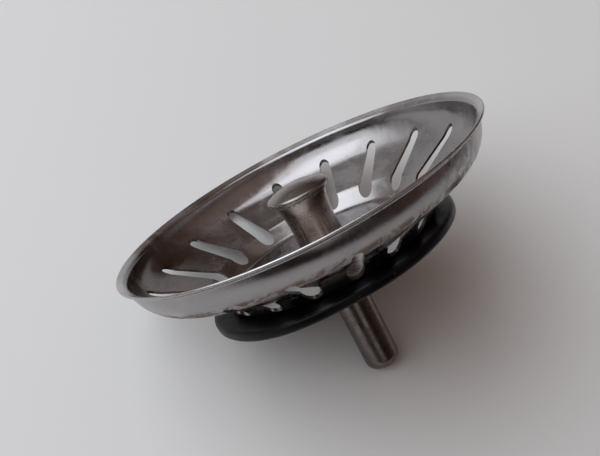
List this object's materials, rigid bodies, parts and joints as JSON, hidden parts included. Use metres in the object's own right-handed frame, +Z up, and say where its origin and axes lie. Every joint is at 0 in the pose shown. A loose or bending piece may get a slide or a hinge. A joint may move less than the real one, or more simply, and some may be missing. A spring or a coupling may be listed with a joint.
{
  "type": "basket strainer plug",
  "caption": "Kitchen sink basket strainer plug: slotted round steel basket with a mushroom knob, a rubber seal disc under its floor and a round-ended locating pin.",
  "frame": {"origin": "centre of the locating pin's shoulder, where the pin leaves the clamp washer under the seal", "axes": "+Z up the plug's axis towards the knob, -Z down the locating pin, +X through the middle of one drain slot"},
  "size_m": [0.0838, 0.0838, 0.0455],
  "materials": {
    "basket_steel": "worn polished stainless steel with water stains",
    "cap_steel": "worn polished stainless steel",
    "tarnished_plate": "tarnished plated metal",
    "brass_insert": "plain turned brass",
    "gasket_rubber": "soft black rubber",
    "stud_steel": "plain stainless steel",
    "seal_rubber": "satin black rubber",
    "pin_steel": "dull tarnished steel"
  },
  "bodies": {
    "root": {"strainer_basket": "basket_steel", "knob_cap": "cap_steel", "knob_shell": "tarnished_plate", "knob_insert": "brass_insert", "knob_gasket": "gasket_rubber", "threaded_stud": "stud_steel", "rubber_seal": "seal_rubber", "clamp_washer": "stud_steel", "locating_pin": "pin_steel"}
  },
  "joints": []
}
